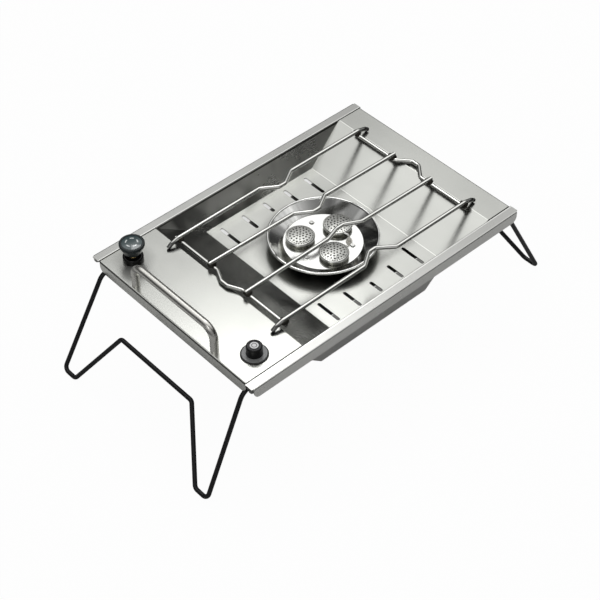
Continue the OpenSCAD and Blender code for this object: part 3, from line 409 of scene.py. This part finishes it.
railShading = {
    "topLevel": (-0.0003, 0.01, 0.0002), "topDark": 0.34,
    "seamEdge": (0.0, 0.0011, 0.0002), "seamDark": 0.8,
    "rimEdge": (0.0012, 0.0023, 0.0002), "rimBright": 0.6,
    "skirtAcross": (0.05, 0.1187, 0.0003), "skirtLevel": (-0.06, -0.002, 0.0006), "skirtDark": 0.93,
    "skirtAlong": (-0.11, 0.12), "skirtFront": 0.9,
    "streakStretch": (1, 1, 0.3), "streakSize": 38.0, "streakFade": (0.38, 0.62), "streakTone": (-0.3, 0.12),
    "creaseLevel": (-0.0022, -0.0006, 0.0003), "creaseDark": 0.85}


def railShade(tree):
    # Painted light and shade: the rail's top is painted darker than its outer face, with a painted dark seam
    # and a painted highlight rim along the panel. The skirt inside the recess has a crease of painted shade
    # at its top, and painted shade that is darkest at the front and streaked from top to bottom.
    parts = objectParts(tree)
    side = calc(tree, "ABSOLUTE", (parts, "X"))
    top = levelBand(tree, parts, *railShading["topLevel"])
    lines = {}
    for name in ("seam", "rim"):
        first, last, soft = railShading[name + "Edge"]
        lines[name] = product(tree, band(tree, side, trayHalf + first, trayHalf + last, soft), top)
    inner = band(tree, side, *railShading["skirtAcross"])
    crease = product(tree, inner, levelBand(tree, parts, *railShading["creaseLevel"]))
    skirt = product(tree, inner, levelBand(tree, parts, *railShading["skirtLevel"]))
    along = remap(tree, (parts, "Y"), *railShading["skirtAlong"], railShading["skirtFront"], 0.0)
    point = objectPoint(tree, railShading["streakStretch"])
    streaks = noise(tree, point, railShading["streakSize"], detail=1.0, rough=0.4)
    streak = remap(tree, streaks, *railShading["streakFade"], *railShading["streakTone"], True)
    hidden = product(tree, skirt, calc(tree, "ADD", along, streak, clamp=True))
    return product(
        tree,
        dimmer(tree, top, railShading["topDark"]),
        dimmer(tree, hidden, railShading["skirtDark"]),
        dimmer(tree, lines["seam"], railShading["seamDark"]),
        dimmer(tree, lines["rim"], -railShading["rimBright"]),
        dimmer(tree, crease, railShading["creaseDark"]))


bowlShading = {
    "wallRadius": (0.0425, 0.0582, 0.0004), "wallDark": 0.82,
    "darkSide": (0.9, 0.42, 0), "sideFrom": (-1.0, 0.7), "sideTo": (0.1, 0.95),
    "streakSize": 3.2, "streakFade": (0.4, 0.6), "streakTone": (0.15, -0.25),
    "underLevel": (-0.05, -0.0258, 0.0002), "underDark": 0.2}


def bowlShade(tree):
    # Painted reflection: the spun wall is painted dark on the right and lighter on the left, with soft
    # streaks up it; the lip stays bright, and the underside has a little painted shade
    parts = objectParts(tree)
    wall = band(tree, (ringAbout(tree, bowlCentre), "Radius"), *bowlShading["wallRadius"])
    point = objectPoint(tree, move=(-bowlCentre[0], -bowlCentre[1], 0))
    circle = vectorCalc(tree, "NORMALIZE", vectorCalc(tree, "MULTIPLY", point, (1, 1, 0)))
    streaks = noise(tree, circle, bowlShading["streakSize"])
    streak = remap(tree, streaks, *bowlShading["streakFade"], *bowlShading["streakTone"], True)
    lean = vectorCalc(tree, "DOT_PRODUCT", circle, bowlShading["darkSide"])
    turned = remap(tree, lean, *bowlShading["sideFrom"], *bowlShading["sideTo"])
    dark = product(tree, wall, calc(tree, "ADD", turned, streak, clamp=True))
    under = levelBand(tree, parts, *bowlShading["underLevel"])
    return product(tree, dimmer(tree, dark, bowlShading["wallDark"]), dimmer(tree, under, bowlShading["underDark"]))


housingShading = {"wallIn": 0.0098, "floorUp": 0.0006, "reach": 0.01, "soft": 0.0002, "insideBright": 0.25}


def housingInside(tree):
    # 1 on the faces inside the housing, where the steel is also made non-metal to paint light on it
    parts = objectParts(tree)
    low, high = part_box("burner_housing")
    masks = []
    for axis, name in enumerate("XY"):
        start, stop = low[axis] + housingShading["wallIn"], high[axis] - housingShading["wallIn"]
        masks.append(band(tree, (parts, name), start, stop, housingShading["soft"]))
    start, stop = low[2] + housingShading["floorUp"], high[2] + housingShading["reach"]
    return product(tree, *masks, band(tree, (parts, "Z"), start, stop, housingShading["soft"]))


def housingShade(tree):
    # Painted light: inside, where little light reaches, the sheet is painted a lighter grey
    return dimmer(tree, housingInside(tree), -housingShading["insideBright"])


# Fades in wire radii up from the wire's middle
wireShading = {
    "radius": 0.0023, "lowFade": (-0.5, 0.25), "lowDark": 0.8, "tipFade": (-2.4, -1.3), "tipDark": 0.9}


def wireShade(box):
    # A factor of painted shade for the lower half of the level wire in a box, and its tips that turn down
    radius = wireShading["radius"]
    middle = box[1][2] - radius

    def build(tree):
        parts = objectParts(tree)
        factors = []
        for name in ("low", "tip"):
            first, last = wireShading[name + "Fade"]
            start, stop = middle + first * radius, middle + last * radius
            shadow = remap(tree, (parts, "Z"), start, stop, wireShading[name + "Dark"], 0.0, True)
            factors.append(calc(tree, "SUBTRACT", 1.0, shadow))
        return product(tree, *factors)
    return build


handleShading = {"lowFrom": -0.0088, "lowTo": -0.0048, "soft": 0.0012, "lowDark": 0.5}


def handleShade(tree):
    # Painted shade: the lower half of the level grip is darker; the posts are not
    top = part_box("handle")[1][2]
    start, stop = top + handleShading["lowFrom"], top + handleShading["lowTo"]
    low = band(tree, (objectParts(tree), "Z"), start, stop, handleShading["soft"])
    return dimmer(tree, low, handleShading["lowDark"])


dialHighlights = {"radius": (0.0054, 0.0068, 0.0003), "strokes": 5.0, "stroke": (0.18, 0.72, 0.06)}


def knobPaintedHighlights(tree):
    # Painted highlights: a ring of five pale strokes on the glossy dial, for the soft boxes' reflections
    low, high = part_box("knob_disc")
    ring = ringAbout(tree, ((low[0] + high[0]) / 2, (low[1] + high[1]) / 2, 0.0))
    line = band(tree, (ring, "Radius"), *dialHighlights["radius"])
    part = calc(tree, "FRACT", calc(tree, "MULTIPLY", (ring, "Turn"), dialHighlights["strokes"]))
    return product(tree, line, band(tree, part, *dialHighlights["stroke"]))


buttonHighlight = {
    "face": (-0.0009, 0.01, 0.0002), "disc": (-1.0, 0.0043, 0.0003),
    "groove": (0.0021, 0.0029, 0.0002), "grooveDark": 0.85}


def buttonPaintedHighlight(tree):
    # Painted highlight: the button's top face is painted pale, with a darker ring pressed into it
    low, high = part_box("igniter_button")
    ring = ringAbout(tree, ((low[0] + high[0]) / 2, (low[1] + high[1]) / 2, 0.0))
    start, stop, soft = buttonHighlight["face"]
    face = band(tree, (objectParts(tree), "Z"), high[2] + start, high[2] + stop, soft)
    disc = band(tree, (ring, "Radius"), *buttonHighlight["disc"])
    groove = band(tree, (ring, "Radius"), *buttonHighlight["groove"])
    return product(tree, face, disc, dimmer(tree, groove, buttonHighlight["grooveDark"]))


gratePolish = {
    "low": (0.64, 0.645, 0.615), "high": (0.78, 0.78, 0.75), "stretch": (1, 1, 1),
    "rough": (0.07, 0.12), "bump": 0.03, "cloudSize": 40.0}

metals = {
    "tray_steel": {
        "name": "annealedSheet", "low": (0.475, 0.48, 0.455), "high": (0.54, 0.546, 0.518),
        "stretch": (0.2, 1, 1), "rough": (0.225, 0.245), "bump": 0.006, "cloudRough": 0.02,
        "shade": trayShade, "paintedMatte": trayPaintedReflection},
    "rail_steel": {
        "name": "brushedRail", "low": (0.7, 0.702, 0.675), "high": (0.82, 0.822, 0.795),
        "stretch": (1, 0.1, 1), "rough": (0.262, 0.272), "bump": 0.006, "shade": railShade},
    "bowl_steel": {
        "name": "spunBowl", "low": (0.88, 0.885, 0.865), "high": (0.95, 0.95, 0.925),
        "stretch": (1, 1, 1), "rough": (0.08, 0.13), "bump": 0.02, "cloudSize": 22.0, "shade": bowlShade},
    "cap_steel": {
        "name": "pressedCap", "low": (0.46, 0.465, 0.44), "high": (0.64, 0.64, 0.61),
        "stretch": (1, 1, 1), "rough": (0.22, 0.34), "bump": 0.15, "cloudSize": 80.0},
    "cup_steel": {
        "name": "drawnCup", "low": (0.1, 0.1, 0.085), "high": (0.24, 0.24, 0.21),
        "stretch": (1, 1, 0.1), "rough": (0.2, 0.32), "bump": 0.12, "cloudSize": 60.0},
    "grate_wire": {**gratePolish, "name": "polishedWire", "shade": wireShade(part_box("left_inner_bar"))},
    "cross_wire": {
        **gratePolish, "name": "polishedCrossWire", "shade": wireShade(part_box("front_cross_bar"))},
    "handle_steel": {
        "name": "satinRod", "low": (0.62, 0.615, 0.575), "high": (0.76, 0.75, 0.71),
        "stretch": (0.05, 1, 1), "rough": (0.22, 0.3), "bump": 0.1, "cloudSize": 30.0, "shade": handleShade},
    "housing_steel": {
        "name": "dullSheet", "low": (0.6, 0.6, 0.585), "high": (0.74, 0.74, 0.72),
        "stretch": (0.1, 1, 1), "rough": (0.34, 0.46), "bump": 0.15, "cloudSize": 20.0,
        "shade": housingShade, "paintedMatte": housingInside},
    "plain_steel": {
        "name": "plainSteel", "low": (0.74, 0.74, 0.72), "high": (0.86, 0.86, 0.84),
        "stretch": (1, 1, 0.2), "rough": (0.14, 0.22), "bump": 0.06, "cloudSize": 60.0},
    "cast_grey": {
        "name": "castGrey", "low": (0.36, 0.37, 0.37), "high": (0.5, 0.51, 0.51),
        "stretch": (1, 1, 1), "rough": (0.4, 0.55), "bump": 0.4, "cloudSize": 60.0},
    "brass": {
        "name": "turnedBrass", "low": (0.62, 0.46, 0.2), "high": (0.78, 0.6, 0.3),
        "stretch": (1, 1, 0.2), "rough": (0.2, 0.32), "bump": 0.1, "cloudSize": 60.0}}

mouldings = {
    "knob_plastic": {
        "name": "knobMoulding", "low": (0.005, 0.01, 0.011), "high": (0.009, 0.017, 0.018),
        "rough": (0.24, 0.34), "scale": 2500.0, "bump": 0.12, "specular": 0.35},
    "disc_plastic": {
        "name": "glossDisc", "low": (0.04, 0.068, 0.072), "high": (0.06, 0.092, 0.096),
        "rough": (0.06, 0.12), "scale": 900.0, "bump": 0.02, "coat": 0.6,
        "pale": (0.8, 0.84, 0.83), "paleMask": knobPaintedHighlights},
    "black_gloss": {
        "name": "glossCollar", "low": (0.002, 0.002, 0.002), "high": (0.004, 0.004, 0.004),
        "rough": (0.12, 0.18), "scale": 1200.0, "bump": 0.02, "specular": 0.25},
    "black_matte": {
        "name": "matteMoulding", "low": (0.01, 0.01, 0.011), "high": (0.02, 0.02, 0.021),
        "rough": (0.4, 0.55), "scale": 2200.0, "bump": 0.2},
    "button_plastic": {
        "name": "buttonMoulding", "low": (0.003, 0.003, 0.004), "high": (0.006, 0.006, 0.007),
        "rough": (0.2, 0.3), "scale": 2000.0, "bump": 0.05, "specular": 0.25,
        "pale": (0.8, 0.8, 0.8), "paleMask": buttonPaintedHighlight},
    "bezel_grey": {
        "name": "greyBezel", "low": (0.17, 0.175, 0.175), "high": (0.23, 0.235, 0.235),
        "rough": (0.25, 0.35), "scale": 2000.0, "bump": 0.06, "coat": 0.2},
    "gasket_rubber": {
        "name": "blackGasket", "low": (0.008, 0.008, 0.008), "high": (0.016, 0.016, 0.016),
        "rough": (0.5, 0.65), "scale": 2600.0, "bump": 0.2},
    "lead_rubber": {
        "name": "leadSleeve", "low": (0.012, 0.012, 0.013), "high": (0.02, 0.02, 0.02),
        "rough": (0.4, 0.5), "scale": 2600.0, "bump": 0.1},
    "ceramic": {
        "name": "glazedCeramic", "low": (0.74, 0.71, 0.64), "high": (0.85, 0.83, 0.77),
        "rough": (0.15, 0.25), "scale": 1500.0, "bump": 0.04, "coat": 0.6},
    "leg_black": {
        "name": "powderCoat", "low": (0.004, 0.004, 0.005), "high": (0.009, 0.009, 0.01),
        "rough": (0.3, 0.42), "scale": 3000.0, "bump": 0.25, "specular": 0.3}}

finishes = {slot: makeSheetSteel(**look) for slot, look in metals.items()}
finishes.update({slot: makeMoulded(**look) for slot, look in mouldings.items()})

slotOf = {row["node"]: row["material_slot"] for row in frame["record"]["subparts"]}
for name, obj in nodes.items():
    finish = finishes["cross_wire" if name.endswith("cross_bar") else slotOf[name]]
    for place in obj.material_slots:
        place.material = finish
print("finishes placed:", len(finishes))


def closedTubes(name, rings, starts, ends):
    # One smooth mesh of closed tubes. Rings holds, for each tube and each row along it, the points
    # round it; faces join neighbours, and each end is closed with triangles to its one end point.
    # Looking along a tube its points run anticlockwise, so that the faces point outwards.
    count, rows, around = rings.shape[:3]
    place = np.arange(around)
    following = (place + 1) % around
    row = around * np.arange(rows - 1)[:, None]
    quads = np.stack([row + place, row + around + place, row + around + following, row + following], -1)
    last = around * (rows - 1)
    tip = np.full(around, around * rows)
    first = np.stack([place, following, tip], -1)
    final = np.stack([last + following, last + place, tip + 1], -1)
    shift = (around * rows + 2) * np.arange(count)[:, None, None]
    faces = []
    for part in (quads.reshape(-1, 4), first, final):
        faces += (shift + part).reshape(-1, part.shape[1]).tolist()
    points = np.concatenate([rings.reshape(count, -1, 3), starts[:, None], ends[:, None]], 1)
    mesh = bpy.data.meshes.new(name)
    mesh.from_pydata(points.reshape(-1, 3).tolist(), [], faces)
    mesh.polygons.foreach_set("use_smooth", [True] * len(mesh.polygons))
    tubes = bpy.data.objects.new(name, mesh)
    bpy.context.scene.collection.objects.link(tubes)
    return tubes


weldBead = {
    "half": (0.0048, 0.0046, 0.0032), "height": 0.1304, "around": 36, "down": 20,
    "lump": 0.14, "ripple": 0.4, "shift": 1.7,
    "rows": {-0.1066: (-0.079, -0.028, 0.0275, 0.081), 0.1456: (-0.0784, -0.0236, 0.0319, 0.0825)},   # y: xs
    "look": {
        "name": "burntWeld", "low": (0.015, 0.014, 0.012), "high": (0.06, 0.056, 0.048),
        "stretch": (1, 1, 1), "rough": (0.4, 0.55), "bump": 0.4, "cloudSize": 220.0, "fineness": 2600.0}}


def makeWeldBeads():
    # One lumpy bead at each crossing of a long and a cross wire. At the angle v down from its top
    # and the turn u, a point is the centre plus the half sizes times r (sin v cos u, sin v sin u, cos v).
    # The radius r is 1 + lump sin v sin v (sin(3u + s) sin(2v + s) + ripple sin(7u - s)), with s one
    # shift more for each bead.
    spec = weldBead
    centres = np.array([(x, y, spec["height"]) for y, xs in spec["rows"].items() for x in xs])
    v = np.linspace(0, math.pi, spec["down"] + 1)[1:-1, None]
    u = np.linspace(0, 2 * math.pi, spec["around"], endpoint=False)
    s = spec["shift"] * np.arange(len(centres))[:, None, None]
    lumps = np.sin(3 * u + s) * np.sin(2 * v + s) + spec["ripple"] * np.sin(7 * u - s)
    r = 1 + spec["lump"] * np.sin(v) ** 2 * lumps
    ball = np.stack([np.sin(v) * np.cos(u), np.sin(v) * np.sin(u), np.cos(v) + 0 * u], -1)
    rings = centres[:, None, None] + np.array(spec["half"]) * r[..., None] * ball
    tip = np.array((0, 0, spec["half"][2]))
    beads = closedTubes("weldBeads", rings, centres + tip, centres - tip)
    beads.data.materials.append(makeSheetSteel(**spec["look"]))
    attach(beads, "grate")
    return beads


makeWeldBeads()
print("weld beads made")


coilSpring = {"wire": 0.00045, "turns": 5, "steps": 44, "around": 14, "endPitch": 0.00096, "keep": 0.235}


def makeSpring():
    # A coil under the button. The wire's centre is at (R cos a, R sin a, h(a)), with a
    # from 0 to 2 pi turns, and h climbs slowly in the first and last turn, faster between. Round it
    # goes a circle of the wire's radius, square to its path.
    spec = coilSpring
    low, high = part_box("igniter_spring")
    wire, turns, pitch = spec["wire"], spec["turns"], spec["endPitch"]
    middle = ((low[0] + high[0]) / 2, (low[1] + high[1]) / 2)
    reach = (high[0] - low[0]) / 2 - wire
    rise = high[2] - low[2] - 2 * wire
    angle = np.linspace(0, 2 * math.pi * turns, turns * spec["steps"] + 1)
    height = np.interp(angle / (2 * math.pi), [0, 1, turns - 1, turns], [0, pitch, rise - pitch, rise])
    out = np.stack([np.cos(angle), np.sin(angle), 0 * angle], 1)
    centre = reach * out + np.array((*middle, low[2] + wire))
    centre[:, 2] += height
    ahead = np.gradient(centre, axis=0)
    ahead /= np.linalg.norm(ahead, axis=1)[:, None]
    side = np.cross(out, ahead)
    turn = np.linspace(0, 2 * math.pi, spec["around"], endpoint=False)[:, None]
    rings = centre[:, None] + wire * (np.cos(turn) * out[:, None] + np.sin(turn) * side[:, None])
    coil = closedTubes("coilSpring", rings[None], centre[:1], centre[-1:])
    coil.data.materials.append(finishes["plain_steel"])
    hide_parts("igniter_spring")
    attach(coil, "chassis")
    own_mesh(coil)
    return coil


makeSpring()
print("spring made")


paleFloor = {
    "half": 3.0, "drop": 0.0004, "tone": 0.82, "mirrorTone": 0.52, "camGlow": 0.97,
    "slotStretch": (1, 0.6, 1), "slotMove": (0.13, -0.051, 0), "slotFade": (0.03, 0.105), "slotGlow": 0.4}


def makeFloor():
    # A pale floor: near white to the camera, greyer to polished metal, its lit tone to all else.
    # Under the left slots more of its own shading shows; from beneath the camera sees through it.
    half, drop = paleFloor["half"], paleFloor["drop"]
    mesh = bpy.data.meshes.new("paleFloor")
    corners = [(-half, -half, -drop), (half, -half, -drop), (half, half, -drop), (-half, half, -drop)]
    mesh.from_pydata(corners, [], [(0, 1, 2, 3)])
    floor = bpy.data.objects.new("paleFloor", mesh)
    bpy.context.scene.collection.objects.link(floor)
    mat = bpy.data.materials.new("paleFloor")
    tree = emptyTree(mat)
    seen = addNode(tree, "LightPath")
    lit, mirrored = (paleFloor["tone"],) * 3, (paleFloor["mirrorTone"],) * 3
    paint = addNode(tree, "BsdfDiffuse", {"Color": colourMix(tree, (seen, "Is Glossy Ray"), lit, mirrored)})
    glow = addNode(tree, "Emission", {"Color": (1, 1, 1, 1), "Strength": 1.0})
    away = vectorCalc(tree, "LENGTH", objectPoint(tree, paleFloor["slotStretch"], paleFloor["slotMove"]))
    share = remap(tree, away, *paleFloor["slotFade"], paleFloor["slotGlow"], paleFloor["camGlow"], True)
    lifted = calc(tree, "MULTIPLY", (seen, "Is Camera Ray"), share)
    above = mixShader(tree, lifted, (paint, "BSDF"), (glow, "Emission"))
    beneath = calc(tree, "MULTIPLY", (seen, "Is Camera Ray"), (addNode(tree, "NewGeometry"), "Backfacing"))
    whole = mixShader(tree, beneath, above, (addNode(tree, "BsdfTransparent"), "BSDF"))
    addNode(tree, "OutputMaterial", {"Surface": whole})
    mesh.materials.append(mat)
    return floor


# The sky's directions have a length of 1; fades run over Z, or over the share along a direction
studio = {
    "stops": [(0.0, 0.05), (0.45, 0.07), (0.6, 0.34), (0.65, 0.46), (0.69, 0.8), (0.73, 0.9), (0.78, 0.95)],
    "tilt": (0.643, 0.766, 0.0), "tiltShare": 0.62, "tiltFade": (-0.08, 0.2),
    "rightFade": (0.04, 0.2), "rightHigh": (0.7, 0.8), "rightDim": 0.5,
    "frontFade": (-0.1, 0.2), "frontDim": 0.88,
    "side": (-0.5, 0.4, 0.0), "sideFade": (-0.25, 0.12), "sideDim": 0.12, "domeLevel": 1.5,
    "second": (0.7, -0.7, 0.0), "secondFade": (0.3, 0.75), "secondHigh": (0.04, 0.16), "secondTone": 0.42}


def makeWorld():
    # White to the camera. To light and metal it is a studio with one big soft box overhead.
    # The box's lower edge is tilted and fades to the right, and it is dimmer towards the front
    # and the near right side; the horizon is dark but for a second box low at the front right.
    world = bpy.data.worlds.new("studioWorld")
    bpy.context.scene.world = world
    tree = emptyTree(world)
    sky = (addNode(tree, "TexCoord"), "Generated")
    parts = addNode(tree, "SeparateXYZ", {"Vector": sky})
    tilt = vectorCalc(tree, "DOT_PRODUCT", sky, studio["tilt"])
    side = vectorCalc(tree, "DOT_PRODUCT", sky, studio["side"])
    second = vectorCalc(tree, "DOT_PRODUCT", sky, studio["second"])

    low, high = studio["tiltFade"]
    slope = remap(tree, tilt, low, high, low * studio["tiltShare"], high * studio["tiltShare"])
    ramp = addNode(tree, "ValToRGB", {"Fac": calc(tree, "ADD", (parts, "Z"), slope)})
    stops = ramp.color_ramp
    stops.interpolation = "LINEAR"
    while len(stops.elements) < len(studio["stops"]):
        stops.elements.new(0.5)
    for element, (at, tone) in zip(stops.elements, studio["stops"]):
        element.position = at
        element.color = (tone, tone, tone, 1)

    right = remap(tree, tilt, *studio["rightFade"], 0.0, studio["rightDim"], True)
    under = remap(tree, (parts, "Z"), *studio["rightHigh"], 1.0, 0.0, True)
    kept = calc(tree, "SUBTRACT", 1.0, product(tree, right, under))
    front = remap(tree, (parts, "Y"), *studio["frontFade"], studio["frontDim"], 1.0, True)
    near = remap(tree, side, *studio["sideFade"], studio["sideDim"], 1.0, True)
    main = product(tree, kept, front, near, (ramp, "Color"))
    across = remap(tree, second, *studio["secondFade"], 0.0, studio["secondTone"], True)
    upward = remap(tree, (parts, "Z"), *studio["secondHigh"], 0.0, 1.0, True)
    brighter = calc(tree, "MAXIMUM", main, product(tree, across, upward))
    level = calc(tree, "MULTIPLY", brighter, studio["domeLevel"])

    dome = addNode(tree, "Background", {"Color": (1, 1, 1, 1), "Strength": level})
    white = addNode(tree, "Background", {"Color": (1, 1, 1, 1), "Strength": 1.0})
    seen = (addNode(tree, "LightPath"), "Is Camera Ray")
    whole = mixShader(tree, seen, (dome, "Background"), (white, "Background"))
    addNode(tree, "OutputWorld", {"Surface": whole})
    return world


lamps = {
    "backLamp": {"place": (-0.7, 0.5, 1.6), "aim": (0, 0, 0.1), "size": 0.5, "power": 2.5},
    "fillLamp": {"place": (0.5, -1.1, 1.5), "aim": (0, 0, 0.1), "size": 0.6, "power": 2.0}}


def addLamp(name, place, aim, size, power):
    # A square soft lamp at a place, turned to face a point
    data = bpy.data.lights.new(name, "AREA")
    data.shape = "RECTANGLE"
    data.size, data.size_y = size, size
    data.energy = power
    lamp = bpy.data.objects.new(name, data)
    bpy.context.scene.collection.objects.link(lamp)
    back = (Vector(place) - Vector(aim)).normalized()
    lamp.matrix_world = Matrix.Translation(place) @ back.to_track_quat("Z", "Y").to_matrix().to_4x4()
    return lamp


makeFloor()
makeWorld()
for name, lamp in lamps.items():
    addLamp(name, **lamp)
print("studio made")


view = {
    "azimuth": 47.87, "elevation": 45.37, "roll": -0.42,                                  # in degrees
    "distance": 1.5185, "aim": (0.06619, -0.07182, plateTop),                             # in metres
    "lens": 91.94, "sensor": 36.0, "near": 0.05, "far": 20.0}


def makeCamera():
    # Looks at the aim point from the stated angles; the azimuth turns from the front to the right
    a, e = math.radians(view["azimuth"]), math.radians(view["elevation"])
    back = Vector((math.sin(a) * math.cos(e), -math.cos(a) * math.cos(e), math.sin(e)))
    data = bpy.data.cameras.new("mainCamera")
    data.lens, data.sensor_width = view["lens"], view["sensor"]
    data.clip_start, data.clip_end = view["near"], view["far"]
    camera = bpy.data.objects.new("mainCamera", data)
    bpy.context.scene.collection.objects.link(camera)
    turn = back.to_track_quat("Z", "Y").to_matrix().to_4x4()
    roll = Matrix.Rotation(math.radians(view["roll"]), 4, "Z")
    camera.matrix_world = Matrix.Translation(Vector(view["aim"]) + back * view["distance"]) @ turn @ roll
    bpy.context.scene.camera = camera


makeCamera()
bpy.context.scene.view_settings.view_transform = "Standard"
print("camera made")
